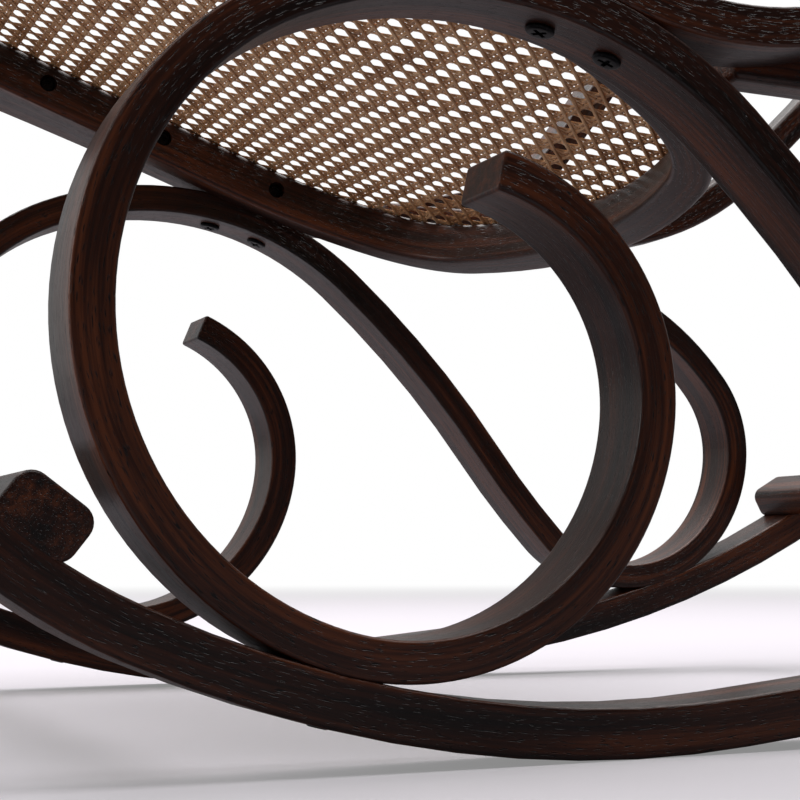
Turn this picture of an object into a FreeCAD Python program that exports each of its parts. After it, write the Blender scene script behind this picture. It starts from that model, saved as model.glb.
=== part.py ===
import FreeCAD, Part
import os
from math import sin, cos, radians

V = FreeCAD.Vector

# Side frames: both stand in one plane each side of the seat.
BAND_WIDTH = 34.9           # width of every bent band, across the chair
PLANE_IN = 206.9            # inner face of the side frames, from the middle
PLANE_OUT = PLANE_IN + BAND_WIDTH
SEAT_IN = 0.35              # how far two bands are let into each other where they touch

# Runner, in the side plane: start, heading and arcs as (length, turn in degrees).
RUNNER_THICK = 20.0
RUNNER_START = (-270.3, 109.2)
RUNNER_HEADING = -50.6
RUNNER_ARCS = ((95.2, 26.65), (251.7, 29.62), (90.0, 0.2), (331.6, 27.37))

# Scroll band: from the inner end of the front scroll to the end of the rear one.
SCROLL_THICK = 16.0
SCROLL_START = (-58.82, 223.75)
SCROLL_HEADING = -11.60
SCROLL_ARCS = (
    (127.6, -85.13), (176.4, -99.71), (307.0, -139.46), (199.6, -64.36), (146.4, -13.16),
    (75.1, 7.54), (53.2, 37.90), (144.6, 93.89), (57.2, 43.74), (75.0, 22.31),
)
RIGHT_SCROLL_CUT = 16.0     # the right scroll's inner end is this much shorter

# Arm loop: the lower run is given, the curl, armrest and branch follow from it.
ARM_THICK = 17.0
ARM_RUN_START = (-140.4, 349.0)
ARM_RUN_HEADING = -17.58
ARM_RUN_ARCS = ((138.6, -2.32), (98.5, 33.47), (62.9, 2.02), (68.9, 37.36), (82.0, 3.56))
ARM_FRONT_RUN = 158.0       # straight ahead of the lower run, before the front curl
ARM_CURL_R = 112.0
ARM_REST_SLOPE = 2.65       # the armrest falls this much towards the back
ARM_REST_END = 508.0        # where the armrest ends, front to back
BRANCH_R = 110.0            # bend of the branch that comes up under the armrest
BRANCH_TAIL = 60.0          # length that lies flat under the armrest
TAIL_GAP = 0.3              # glue line between the tail and the armrest

# Crossbars lie on the runners; the stations are measured along the runner.
BAR_ALONG = 31.0
BAR_DEEP = 22.0
BAR_CORNER = 7.0
BAR_LET_IN = 2.4
FRONT_BAR_AT = 47.2
REAR_BAR_AT = 721.7

# Seat, in its own plane: x across, s towards the back, n up from the cane.
SEAT_SLOPE = 19.64          # the seat falls this much towards the back
SEAT_HEIGHT = 313.3
RING_THICK = 20.0
RING_DEEP = 25.0
RING_BACK = 139.5
RING_REAR_ARCS = ((128.2, -18.0), (76.8, -44.0), (97.7, -28.0))
RING_SIDE = 202.0           # straight side between the rear and the front corner
RING_FRONT_TURN = 76.0
RING_FRONT_R = 70.0
CANE_THICK = 1.6
SPLINE_WIDE = 4.5
SPLINE_DEEP = 5.0
SPLINE_PROUD = 2.2
SPLINE_INSET = 7.5          # outer side of the spline groove, from the outer edge
CANE_FIT = 0.1

# Back: a bent hoop whose legs run forward under the armrests.
STILE = 20.0
RAIL_EASE = 3.0
BACK_SLOPE = 68.0
BACK_FOOT = (426.8, 445.4)  # where the straight part of the back starts
BACK_STRAIGHT = 352.0
BACK_CORNER_R = 130.0
BACK_CORNER_TURN = 70.0
LEG_ARCS = ((57.6, -24.0), (63.3, 0.0), (153.6, -42.0), (142.0, -2.0))
RAIL_AT = 12.0
RAIL_WIDE = 24.0
TENON_R = 5.0
TENON_LONG = 12.0
TENON_FIT = 0.05

# Cane nets: pitch and size of the square gaps, and the plain rim round them.
NET_PITCH = 30.0
NET_GAP = 18.0
NET_RIM = 8.0
NET_EDGE = 2.0                      # a gap keeps this far off the frame

# Screws: head radius, head height, shank radius.
SMALL_SCREW = (4.3, 2.6, 2.2)
BIG_SCREW = (6.0, 3.2, 2.5)
SCREW_FIT = 0.05
HEAD_FIT = 0.5
SIDE_SCREW_SINK = 4.6
SIDE_SCREW_LONG = 34.0
SEAT_SCREW_S = (-146.0, -74.0, 0.0)
SEAT_SCREW_N = -11.0
STILE_SCREWS = ((80.0, 296.3), (106.0, 298.6), (479.3, 575.4))
SCROLL_SCREWS = ((-33.8, 285.2, -12.0), (-3.7, 277.3, -20.0))
SCROLL_SCREW_SINK = 1.6
SCROLL_SCREW_LONG = 24.0
FOOT_STATIONS = (172.9, 593.3)      # where the scrolls rest, along the runner
FOOT_SCREW_LONG = 24.0
BAR_SCREW_LONG = 30.0
RUNNER_SCREW_SINK = 6.0
BRANCH_SCREWS = (14.0, 44.0)        # from the end of the tail
BRANCH_SCREW_SINK = 4.0
BRANCH_SCREW_LONG = 23.0
HOLE_END = 0.5                      # screw hole past the screw's tip
HEAD_WAY = 30.0                     # open way in for a screw's head
MORTISE_END = 0.5                   # mortise past the tenon's end
CUT_PAST = 1.0                      # cutting shapes reach this far past a face


def walk(start, heading, arcs):
    """List each arc as its start, middle and end: point and heading in degrees."""
    x, y = start
    steps = []
    for length, turn in arcs:
        marks = []
        for part in (0.0, 0.5, 1.0):
            a, b = radians(heading), radians(heading + turn * part)
            if abs(turn) < 1e-9:
                marks.append((x + length * part * cos(a), y + length * part * sin(a), heading))
            else:
                r = length / radians(turn)
                marks.append((x + r * (sin(b) - sin(a)), y + r * (cos(a) - cos(b)), heading + turn * part))
        steps.append(marks)
        x, y, heading = marks[2]
    return steps


def at(start, heading, arcs, station):
    """Point and heading at a distance along a chain of arcs."""
    for length, turn in arcs:
        if station <= length:
            return walk(start, heading, ((station, turn * station / length),))[0][2]
        x, y, heading = walk(start, heading, ((length, turn),))[0][2]
        start = (x, y)
        station -= length
    return (start[0], start[1], heading)


def beside(mark, left):
    """Point at a distance to the left of a mark."""
    x, y, heading = mark
    return (x - left * sin(radians(heading)), y + left * cos(radians(heading)))


def edges_beside(steps, left, place):
    """Edges of a chain, moved to the left by a distance."""
    found = []
    for a, m, b in steps:
        p, q, r = (place(*beside(mark, left)) for mark in (a, m, b))
        if abs(a[2] - b[2]) < 1e-9:
            found.append(Part.makeLine(p, r))
        else:
            found.append(Part.Arc(p, q, r).toShape())
    return found


def side_point(x):
    """Place side-plane coordinates at a distance across the chair."""
    return lambda y, z: V(x, y, z)


def flat_point(y, z):
    return V(y, z, 0)


def strip_face(steps, thick, place):
    """Outline of a band of even thickness along a chain."""
    upper = edges_beside(steps, thick / 2, place)
    lower = edges_beside(steps, -thick / 2, place)
    first = Part.makeLine(place(*beside(steps[0][0], thick / 2)), place(*beside(steps[0][0], -thick / 2)))
    last = Part.makeLine(place(*beside(steps[-1][2], thick / 2)), place(*beside(steps[-1][2], -thick / 2)))
    return Part.Face(Part.Wire(Part.__sortEdges__(upper + lower + [first, last])))


def band(start, heading, arcs, thick):
    """Bent band in the left side plane."""
    steps = walk(start, heading, arcs)
    return strip_face(steps, thick, side_point(PLANE_IN)).extrude(V(BAND_WIDTH, 0, 0))


def mirrored(shape):
    return shape.mirror(V(0, 0, 0), V(1, 0, 0))


def in_seat(shape):
    """Move a shape from seat coordinates to the chair."""
    moved = shape.copy()
    moved.rotate(V(0, 0, 0), V(1, 0, 0), -SEAT_SLOPE)
    moved.translate(V(0, 0, SEAT_HEIGHT))
    return moved


def in_back(shape):
    """Move a shape from the back's own plane to the chair."""
    moved = shape.copy()
    moved.rotate(V(0, 0, 0), V(1, 0, 0), BACK_SLOPE)
    moved.translate(V(0, BACK_FOOT[0], BACK_FOOT[1]))
    return moved


def arm_loop_chain():
    """Armrest, front curl, lower run, rising branch and its tail, from the back end."""
    turn = 180.0 + ARM_RUN_HEADING + ARM_REST_SLOPE
    ahead = ((ARM_FRONT_RUN, 0.0), (ARM_CURL_R * radians(turn), -turn))
    top = walk(ARM_RUN_START, ARM_RUN_HEADING + 180.0, ahead)[-1][2]
    rest = (ARM_REST_END - top[0]) / cos(radians(ARM_REST_SLOPE))
    tip = walk((top[0], top[1]), -ARM_REST_SLOPE, ((rest, 0.0),))[0][2]
    up = walk(ARM_RUN_START, ARM_RUN_HEADING, ARM_RUN_ARCS)[-1][2]
    a, c = radians(up[2]), radians(-ARM_REST_SLOPE)
    bend_y = -BRANCH_R * (sin(c) - sin(a))
    bend_z = -BRANCH_R * (cos(a) - cos(c))
    off = -(up[0] + bend_y - tip[0]) * sin(c) + (up[1] + bend_z - tip[1]) * cos(c)
    climb = (-ARM_THICK - TAIL_GAP - off) / sin(a - c)
    bend = up[2] + ARM_REST_SLOPE
    arcs = ((rest, 0.0), (ARM_CURL_R * radians(turn), turn), (ARM_FRONT_RUN, 0.0)) + ARM_RUN_ARCS
    arcs += ((climb, 0.0), (BRANCH_R * radians(bend), -bend), (BRANCH_TAIL, 0.0))
    return (tip[0], tip[1]), 180.0 - ARM_REST_SLOPE, arcs


def bar(station):
    """Crossbar lying on both runners, its flat side let in a little."""
    y, z, tilt = at(RUNNER_START, RUNNER_HEADING, RUNNER_ARCS, station)
    block = Part.makeBox(BAR_ALONG, BAR_DEEP, 2 * PLANE_OUT, V(-BAR_ALONG / 2, 0, -PLANE_OUT))
    long_edges = [e for e in block.Edges if abs(e.tangentAt(e.FirstParameter).z) > 0.9]
    block = block.makeFillet(BAR_CORNER, long_edges)
    block.rotate(V(0, 0, 0), V(1, 1, 1), 120)
    block.rotate(V(0, 0, 0), V(1, 0, 0), tilt)
    rise = RUNNER_THICK / 2 - BAR_LET_IN
    block.translate(V(0, y - rise * sin(radians(tilt)), z + rise * cos(radians(tilt))))
    return block


def seat_steps():
    """Right half of the ring's outer outline, from the middle of the back."""
    rear = walk((0.0, RING_BACK), 0.0, RING_REAR_ARCS + ((RING_SIDE, 0.0),))
    x, s, heading = rear[-1][2]
    corner = ((RING_FRONT_R * radians(RING_FRONT_TURN), -RING_FRONT_TURN),)
    front = walk((x, s), heading, corner)
    x, s, heading = front[-1][2]
    left_over = 90.0 - RING_FRONT_TURN
    radius = x / sin(radians(left_over))
    return rear + front + walk((x, s), heading, ((radius * radians(left_over), -left_over),))


def back_steps():
    """Right half of the hoop's outer outline, from the middle of the top."""
    top_turn = 90.0 - BACK_CORNER_TURN
    corner = BACK_CORNER_R + STILE / 2
    reach = corner * (1 - cos(radians(BACK_CORNER_TURN)))
    radius = (PLANE_IN - reach) / sin(radians(top_turn))
    rise = radius * (1 - cos(radians(top_turn))) + corner * sin(radians(BACK_CORNER_TURN))
    arcs = ((radius * radians(top_turn), -top_turn), (corner * radians(BACK_CORNER_TURN), -BACK_CORNER_TURN))
    return walk((0.0, BACK_STRAIGHT + rise), 0.0, arcs + ((BACK_STRAIGHT, 0.0),))


def whole_outline(steps, inset):
    """Edges of a half outline and its mirror image, moved inwards."""
    right = edges_beside(steps, -inset, flat_point)
    left = edges_beside(steps, -inset, lambda x, s: V(-x, s, 0))
    return right + left


def closed_face(edges):
    return Part.Face(Part.Wire(Part.__sortEdges__(edges)))


def capped_face(steps, inset, low):
    """Back panel outline, closed by a straight edge at its foot."""
    x = PLANE_IN - inset
    trimmed = list(steps[:-1])
    x_end, top, heading = steps[-1][0]
    trimmed.append([steps[-1][0], (x_end, (top + low) / 2, heading), (x_end, low, heading)])
    foot = Part.makeLine(V(x, low, 0), V(-x, low, 0))
    return closed_face(whole_outline(trimmed, inset) + [foot])


def slab(face, low, high):
    lifted = face.copy()
    lifted.translate(V(0, 0, low))
    return lifted.extrude(V(0, 0, high - low))


def gap(x, y):
    """Square gap of the net, centred on a point."""
    half = NET_GAP / 2
    corners = [V(x + sx * half, y + sy * half, 0) for sx, sy in ((1, 1), (-1, 1), (-1, -1), (1, -1), (1, 1))]
    return Part.makePolygon(corners)


def net(face, inner, low):
    """Flat net: one holed face with its gaps on an even grid inside the rim."""
    box = inner.BoundBox
    columns = int((box.XLength - 2 * NET_RIM) / NET_PITCH) + 1
    rows = int((box.YLength - 2 * NET_RIM) / NET_PITCH) + 1
    wires = []
    for i in range(columns):
        for j in range(rows):
            x = (i - (columns - 1) / 2) * NET_PITCH
            y = (box.YMin + box.YMax) / 2 + (j - (rows - 1) / 2) * NET_PITCH
            reach = NET_GAP / 2 + NET_EDGE
            spots = [V(x + dx, y + dy, 0) for dx in (-reach, reach) for dy in (-reach, reach)]
            if all(inner.isInside(spot, 1e-6, True) for spot in spots):
                wires.append(gap(x, y))
    print("net gaps", len(wires))
    return slab(Part.Face([face.OuterWire] + wires), low, low + CANE_THICK)


def groove_ring(outer, inner, low, high):
    """Slab between two outlines."""
    return slab(outer, low, high).cut(slab(inner, low - CUT_PAST, high + CUT_PAST))


def seat_parts():
    steps = seat_steps()
    ring = slab(closed_face(whole_outline(steps, 0)), -RING_DEEP, 0)
    ring = ring.cut(slab(closed_face(whole_outline(steps, RING_THICK)), -RING_DEEP - CUT_PAST, CUT_PAST))
    groove_out = closed_face(whole_outline(steps, SPLINE_INSET))
    groove_in = closed_face(whole_outline(steps, SPLINE_INSET + SPLINE_WIDE))
    groove = groove_ring(groove_out, groove_in, -SPLINE_DEEP, SPLINE_PROUD + CUT_PAST)
    spline = groove_ring(groove_out, groove_in, -SPLINE_DEEP, SPLINE_PROUD)
    cane_face = closed_face(whole_outline(steps, SPLINE_INSET + SPLINE_WIDE + CANE_FIT))
    opening = closed_face(whole_outline(steps, RING_THICK))
    cane = net(cane_face, opening, 0)
    return [in_seat(s) for s in (ring.cut(groove), spline, cane)]


def leg_chain():
    """Side view of the hoop's leg, from the foot of the back down and forward."""
    return BACK_FOOT, BACK_SLOPE + 180.0, LEG_ARCS


def back_parts():
    steps = back_steps()
    bent = steps[:-1]
    x_end, top, heading = steps[-1][0]
    outer, inner = whole_outline(bent, 0), whole_outline(bent, STILE)
    caps = []
    for side in (-1, 1):
        caps.append(Part.makeLine(V(side * PLANE_IN, top, 0), V(side * (PLANE_IN - STILE), top, 0)))
    arch = slab(closed_face(outer + inner + caps), -STILE / 2, STILE / 2)
    start, heading, arcs = leg_chain()
    pieces = [in_back(arch)]
    for side in (-1, 1):
        x = PLANE_IN - STILE if side > 0 else -PLANE_IN
        straight = Part.makeBox(STILE, BACK_STRAIGHT, STILE, V(x, 0, -STILE / 2))
        leg = strip_face(walk(start, heading, arcs), STILE, side_point(x)).extrude(V(STILE, 0, 0))
        pieces += [in_back(straight), leg]
    hoop = pieces[0].fuse(pieces[1:]).removeSplitter()
    foot = RAIL_AT + RAIL_WIDE / 2
    groove_out = capped_face(steps, SPLINE_INSET, foot - RAIL_WIDE + SPLINE_INSET)
    groove_in = capped_face(steps, SPLINE_INSET + SPLINE_WIDE, foot - RAIL_WIDE + SPLINE_INSET + SPLINE_WIDE)
    face = STILE / 2
    groove = groove_ring(groove_out, groove_in, face - SPLINE_DEEP, face + SPLINE_PROUD + CUT_PAST)
    spline = groove_ring(groove_out, groove_in, face - SPLINE_DEEP, face + SPLINE_PROUD)
    rim = SPLINE_INSET + SPLINE_WIDE + CANE_FIT
    cane_face = capped_face(steps, rim, foot - RAIL_WIDE + rim)
    opening = capped_face(steps, STILE, foot)
    cane = net(cane_face, opening, face)
    half = PLANE_IN - STILE
    rail = Part.makeBox(2 * half, RAIL_WIDE, STILE, V(-half, foot - RAIL_WIDE, -STILE / 2))
    long_edges = [e for e in rail.Edges if abs(e.tangentAt(e.FirstParameter).x) > 0.9]
    rail = rail.makeFillet(RAIL_EASE, long_edges)
    reach = half + TENON_LONG
    past = reach + MORTISE_END
    tenon = Part.makeCylinder(TENON_R, 2 * reach, V(-reach, RAIL_AT, 0), V(1, 0, 0))
    mortise = Part.makeCylinder(TENON_R + TENON_FIT, 2 * past, V(-past, RAIL_AT, 0), V(1, 0, 0))
    hoop = hoop.cut(in_back(groove)).cut(in_back(mortise))
    rail = rail.fuse(tenon).removeSplitter().cut(groove)
    return hoop, in_back(rail), in_back(spline), in_back(cane)


def cylinder(point, direction, start, length, radius):
    """Cylinder that starts at a distance from a point along a direction."""
    return Part.makeCylinder(radius, length, point + direction * start, direction)


def screw(point, direction, size, length):
    """Screw whose head rests at a point; the shank runs along the direction."""
    head_r, head_h, shank_r = size
    head = Part.makeCylinder(head_r, head_h, V(0, 0, -head_h))
    body = head.fuse(Part.makeCylinder(shank_r, length, V(0, 0, 0))).removeSplitter()
    body.Placement = FreeCAD.Placement(point, FreeCAD.Rotation(V(0, 0, 1), direction))
    return body


def screw_hole(point, direction, size, length):
    """Space of a screw with its clearances and a way in for its head."""
    head_r, head_h, shank_r = size
    shaft = cylinder(point, direction, -HOLE_END, length + 2 * HOLE_END, shank_r + SCREW_FIT)
    return shaft.fuse(cylinder(point, direction, -HEAD_WAY, HEAD_WAY, head_r + HEAD_FIT))


def side_screws(spots):
    """Screws that run outwards through the seat ring or a stile into the arm loops."""
    found = []
    for y, z in spots:
        for side in (-1, 1):
            seat = V(side * (PLANE_IN - RING_THICK + SIDE_SCREW_SINK), y, z)
            found.append((seat, V(side, 0, 0), SMALL_SCREW, SIDE_SCREW_LONG))
    return found


def plane_screws(spots, size, length):
    """Screws in the middle of each side frame; a spot is y, z and direction in degrees."""
    found = []
    middle = (PLANE_IN + PLANE_OUT) / 2
    for y, z, angle in spots:
        for side in (-1, 1):
            way = V(0, cos(radians(angle)), sin(radians(angle)))
            found.append((V(side * middle, y, z), way, size, length))
    return found


def under_runner(station, sink):
    """Spot of a screw that goes up through the runner."""
    mark = at(RUNNER_START, RUNNER_HEADING, RUNNER_ARCS, station)
    y, z = beside(mark, -RUNNER_THICK / 2 + sink)
    return (y, z, mark[2] + 90.0)


def bore(shape, screws):
    """Cut the holes that the screws need out of a shape."""
    holes = [screw_hole(*s) for s in screws]
    return shape.cut(holes)


runner = band(RUNNER_START, RUNNER_HEADING, RUNNER_ARCS, RUNNER_THICK)
runner.translate(V(0, 0, SEAT_IN))
scroll = band(SCROLL_START, SCROLL_HEADING, SCROLL_ARCS, SCROLL_THICK)
cut_y, cut_z, cut_heading = at(SCROLL_START, SCROLL_HEADING, SCROLL_ARCS, RIGHT_SCROLL_CUT)
first_length, first_turn = SCROLL_ARCS[0]
short_first = (first_length - RIGHT_SCROLL_CUT, first_turn * (1 - RIGHT_SCROLL_CUT / first_length))
short_arcs = (short_first,) + SCROLL_ARCS[1:]
short_scroll = band((cut_y, cut_z), cut_heading, short_arcs, SCROLL_THICK)
loop_start, loop_heading, loop_arcs = arm_loop_chain()
loop = band(loop_start, loop_heading, loop_arcs, ARM_THICK)
ring, seat_spline, seat_cane = seat_parts()
hoop, rail, back_spline, back_cane = back_parts()
bars = [bar(station) for station in (FRONT_BAR_AT, REAR_BAR_AT)]
for piece in bars:
    piece.translate(V(0, 0, SEAT_IN))

seat_spots = []
for s in SEAT_SCREW_S:
    a = radians(SEAT_SLOPE)
    seat_spots.append((s * cos(a) + SEAT_SCREW_N * sin(a), SEAT_HEIGHT - s * sin(a) + SEAT_SCREW_N * cos(a)))
seat_screws = side_screws(seat_spots)
stile_screws = side_screws(STILE_SCREWS)
scroll_spots = []
for y, z, slope in SCROLL_SCREWS:
    scroll_spots.append(beside((y, z, slope), SCROLL_SCREW_SINK) + (slope + 90.0,))
scroll_screws = plane_screws(scroll_spots, BIG_SCREW, SCROLL_SCREW_LONG)
foot_screws = plane_screws([under_runner(s, RUNNER_SCREW_SINK) for s in FOOT_STATIONS], SMALL_SCREW, FOOT_SCREW_LONG)
bar_spots = [under_runner(s, RUNNER_SCREW_SINK) for s in (FRONT_BAR_AT, REAR_BAR_AT)]
bar_screws = plane_screws(bar_spots, SMALL_SCREW, BAR_SCREW_LONG)
tail_end = walk(loop_start, loop_heading, loop_arcs)[-1]
branch_spots = []
for back in BRANCH_SCREWS:
    mark = at((tail_end[2][0], tail_end[2][1]), tail_end[2][2] + 180.0, ((BRANCH_TAIL, 0.0),), back)
    branch_spots.append(beside(mark, ARM_THICK / 2 - BRANCH_SCREW_SINK) + (90.0 - ARM_REST_SLOPE,))
branch_screws = plane_screws(branch_spots, SMALL_SCREW, BRANCH_SCREW_LONG)

scrolls = [piece.cut(runner).cut(loop) for piece in (scroll, short_scroll)]
lower_screws = foot_screws + bar_screws
runner = bore(runner, [s for s in lower_screws if s[0].x > 0])
scrolls = [bore(piece, [s for s in foot_screws + scroll_screws if s[0].x > 0]) for piece in scrolls]
loop_screws = scroll_screws + branch_screws + seat_screws + stile_screws
loop = bore(loop, [s for s in loop_screws if s[0].x > 0])
both_runners = [runner, mirrored(runner)]
bars = [bore(piece.cut(both_runners), bar_screws) for piece in bars]
ring = bore(ring, seat_screws)
hoop = bore(hoop, stile_screws)


def screw_group(screws):
    return Part.makeCompound([screw(*s) for s in screws])


nodes = {
    "left_runner": runner,
    "right_runner": mirrored(runner),
    "left_scroll": scrolls[0],
    "right_scroll": mirrored(scrolls[1]),
    "left_arm_loop": loop,
    "right_arm_loop": mirrored(loop),
    "front_crossbar": bars[0],
    "rear_crossbar": bars[1],
    "seat_ring": ring,
    "seat_cane": seat_cane,
    "seat_cane_spline": seat_spline,
    "back_hoop": hoop,
    "back_rail": rail,
    "back_cane": back_cane,
    "back_cane_spline": back_spline,
    "seat_side_screws": screw_group(seat_screws),
    "stile_screws": screw_group(stile_screws),
    "scroll_screws": screw_group(scroll_screws),
    "scroll_foot_screws": screw_group(foot_screws),
    "crossbar_screws": screw_group(bar_screws),
    "branch_screws": screw_group(branch_screws),
}

whole = Part.makeCompound(list(nodes.values()))
box = whole.optimalBoundingBox(False, False)
to_origin = V(0, -(box.YMin + box.YMax) / 2, -box.ZMin)
print("moved by", to_origin)
os.makedirs("parts", exist_ok=True)
for name, shape in nodes.items():
    shape = shape.copy()
    shape.translate(to_origin)
    solids = shape.Solids
    shape = solids[0] if len(solids) == 1 else Part.makeCompound(solids)
    print(name, len(solids), "solids, valid", shape.isValid(), "volume", round(shape.Volume))
    shape.exportStep("parts/" + name + ".step")
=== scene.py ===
import math

import bpy
import numpy as np
from mathutils import Matrix, Vector


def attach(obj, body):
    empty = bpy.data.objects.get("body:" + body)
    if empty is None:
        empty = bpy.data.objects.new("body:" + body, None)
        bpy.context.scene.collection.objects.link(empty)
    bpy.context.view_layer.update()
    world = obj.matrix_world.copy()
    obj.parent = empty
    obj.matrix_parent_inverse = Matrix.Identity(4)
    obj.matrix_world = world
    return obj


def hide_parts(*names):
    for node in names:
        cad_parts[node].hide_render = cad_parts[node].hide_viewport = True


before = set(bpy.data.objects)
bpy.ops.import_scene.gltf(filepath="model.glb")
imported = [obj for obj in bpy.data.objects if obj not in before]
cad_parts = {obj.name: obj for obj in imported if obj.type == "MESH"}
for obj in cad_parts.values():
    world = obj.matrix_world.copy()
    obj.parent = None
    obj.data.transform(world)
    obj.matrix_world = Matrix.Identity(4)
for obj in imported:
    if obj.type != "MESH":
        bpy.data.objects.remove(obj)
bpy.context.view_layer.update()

MM = 0.001
BACKWARD = -123.5523        # from the datum of the sizes below to the chair's origin, in mm
DOWNWARD = -0.4911

# Side frames, in mm: two bent bands and an arm loop share one plane each side.
BAND_WIDTH = 34.9
PLANE_IN = 206.9
PLANE_MID = PLANE_IN + BAND_WIDTH / 2
PLANE_OUT = PLANE_IN + BAND_WIDTH
BAND_EASE = 1.6
BANDS_LET_IN = 0.35         # how far the runner is set into the bands that stand on it

RUNNER_THICK = 20.0
RUNNER_START = (-270.3, 109.2 + BANDS_LET_IN)
RUNNER_HEADING = -50.6
RUNNER_ARCS = ((95.2, 26.65), (251.7, 29.62), (90.0, 0.2), (331.6, 27.37))

SCROLL_THICK = 16.0
SCROLL_START = (-58.82, 223.75)
SCROLL_HEADING = -11.60
SCROLL_ARCS = (
    (127.6, -85.13), (176.4, -99.71), (307.0, -139.46), (199.6, -64.36), (146.4, -13.16),
    (75.1, 7.54), (53.2, 37.90), (144.6, 93.89), (57.2, 43.74), (75.0, 22.31),
)
RIGHT_SCROLL_CUT = 16.0

ARM_THICK = 17.0
ARM_RUN_START = (-140.4, 349.0)
ARM_RUN_HEADING = -17.58
ARM_RUN_ARCS = ((138.6, -2.32), (98.5, 33.47), (62.9, 2.02), (68.9, 37.36), (82.0, 3.56))
ARM_FRONT_RUN = 158.0
ARM_CURL_R = 112.0
ARM_REST_SLOPE = 2.65
ARM_REST_END = 508.0
BRANCH_R = 110.0
BRANCH_TAIL = 60.0
TAIL_GAP = 0.3

BAR_ALONG = 31.0
BAR_DEEP = 22.0
BAR_CORNER = 7.0
BAR_END_EASE = 1.5
BAR_LET_IN = 2.4
FRONT_BAR_AT = 47.2
REAR_BAR_AT = 721.7

# Seat, in its own plane: x across, s towards the back, n up from the cane.
SEAT_SLOPE = 19.64
SEAT_HEIGHT = 313.3
RING_THICK = 20.0
RING_DEEP = 25.0
RING_EASE = 3.0
RING_BACK = 139.5
RING_REAR_ARCS = ((128.2, -18.0), (76.8, -44.0), (97.7, -28.0))
RING_SIDE = 202.0
RING_FRONT_TURN = 76.0
RING_FRONT_R = 70.0
SPLINE_INSET = 7.5
SPLINE_WIDE = 4.5
MESH_HEIGHT = 1.2           # the woven mesh's middle above the face that it lies on

# Back hoop: an arch in the back's plane, then legs that bend forward.
STILE = 20.0
STILE_EASE = 3.0
BACK_SLOPE = 68.0
BACK_FOOT = (426.8, 445.4)
BACK_STRAIGHT = 352.0
BACK_CORNER_R = 130.0
BACK_CORNER_TURN = 70.0
LEG_ARCS = ((57.6, -24.0), (63.3, 0.0), (153.6, -42.0), (142.0, -2.0))
RAIL_AT = 12.0
RAIL_WIDE = 24.0

# Cane webbing: half-inch mesh with doubled strands each way and single diagonals.
CANE_PITCH = 12.7
CANE_PAIR_GAP = 3.0         # between the middles of the two strands of a pair
CANE_STRAND = 2.6
CANE_DIAGONAL = 2.4
CANE_THICK = 0.28
CANE_WAVE = 0.2             # how far a strand of a pair swings over and under
CANE_LIFT = 0.42            # diagonals lie on both sides of the pairs
CANE_STEP = CANE_PITCH / 8
CANE_STRAY = 0.07           # how far a strand lies off its line, as a standard deviation
CANE_TONES = 40             # range of the number that gives each strand its own tone
STRAND_SECTION = ((-0.5, 0), (-0.22, 1), (0.22, 1), (0.5, 0), (0, -1))   # share of width, thicknesses up
OUTLINE_SPACING = 3.0
SEAT_PHASE = (2.3 * CANE_PITCH, 0.0)                                     # where the mesh's squares start
BACK_PHASE = (0.0, 0.0)

# Screws: head radius and height.
SMALL_HEAD = (4.3, 2.6)
BIG_HEAD = (6.0, 2.6)
SIDE_SCREW_SINK = 4.6       # the seat's and stiles' heads, below the inner face
RECESS_ROOM = 0.5           # around a head in its recess
RECESS_START = 4.0          # a drill starts this far off the face
SCROLL_SCREW_SINK = 0.4
RUNNER_SCREW_SINK = 2.2
BRANCH_SCREW_SINK = 1.0
FIRST_SLOT_TURN = 0.7       # the cross recesses stand at different angles, in radians
NEXT_SLOT_TURN = 1.9
SEAT_SCREW_S = (-146.0, -74.0, 0.0)
SEAT_SCREW_N = -11.0
STILE_SCREWS = ((80.0, 296.3), (106.0, 298.6), (479.3, 575.4))
SCROLL_SCREWS = ((-33.8, 285.2, -12.0), (-3.7, 277.3, -20.0))
FOOT_STATIONS = (172.9, 593.3)
BRANCH_SCREWS = (14.0, 44.0)

# Where each piece's grain starts, in metres, so that no two pieces look alike. Side pieces add
# or take away their second number.
GRAIN_STARTS = {
    "runner": (0.0, 1.3), "scroll": (4.0, 1.7), "arm_loop": (9.0, 2.1),
    "front_crossbar": (20.0, 0.0), "rear_crossbar": (24.0, 0.0),
    "seat_ring": (30.0, 0.0), "back_hoop": (40.0, 0.0), "back_rail": (50.0, 0.0),
}

# Meshing, in metres and degrees
SAME_POINT = 0.00001
ON_MIDDLE = 0.00002
HALVES_MEET = 0.0001
BEND_STEP = 3.0
SHARP_ANGLE = 50
SPIN_SIGN = -1              # the spin tool turns the other way round than the route's angles

ACROSS = Vector((1, 0, 0))
SEAT_BACKWARD = Vector((0, math.cos(math.radians(SEAT_SLOPE)), -math.sin(math.radians(SEAT_SLOPE))))
SEAT_UP = Vector((0, math.sin(math.radians(SEAT_SLOPE)), math.cos(math.radians(SEAT_SLOPE))))
BACK_UPWARD = Vector((0, math.cos(math.radians(BACK_SLOPE)), math.sin(math.radians(BACK_SLOPE))))
BACK_FRONTWARD = Vector((0, -math.sin(math.radians(BACK_SLOPE)), math.cos(math.radians(BACK_SLOPE))))


def at_mm(x, y, z):
    """A point given in mm from the datum, in metres from the chair's origin."""
    return Vector((x, y + BACKWARD, z + DOWNWARD)) * MM


def seat_point(x, s, n):
    """A point in the seat's plane: across, towards the back and up, in mm."""
    return at_mm(0, 0, SEAT_HEIGHT) + (ACROSS * x + SEAT_BACKWARD * s + SEAT_UP * n) * MM


def back_point(x, t, n):
    """A point in the back's plane: across, up the stile and forwards, in mm."""
    return at_mm(0, *BACK_FOOT) + (ACROSS * x + BACK_UPWARD * t + BACK_FRONTWARD * n) * MM


# Routes: a start point, a direction and bends as (length in mm, turn in degrees, axis of the turn).

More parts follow.
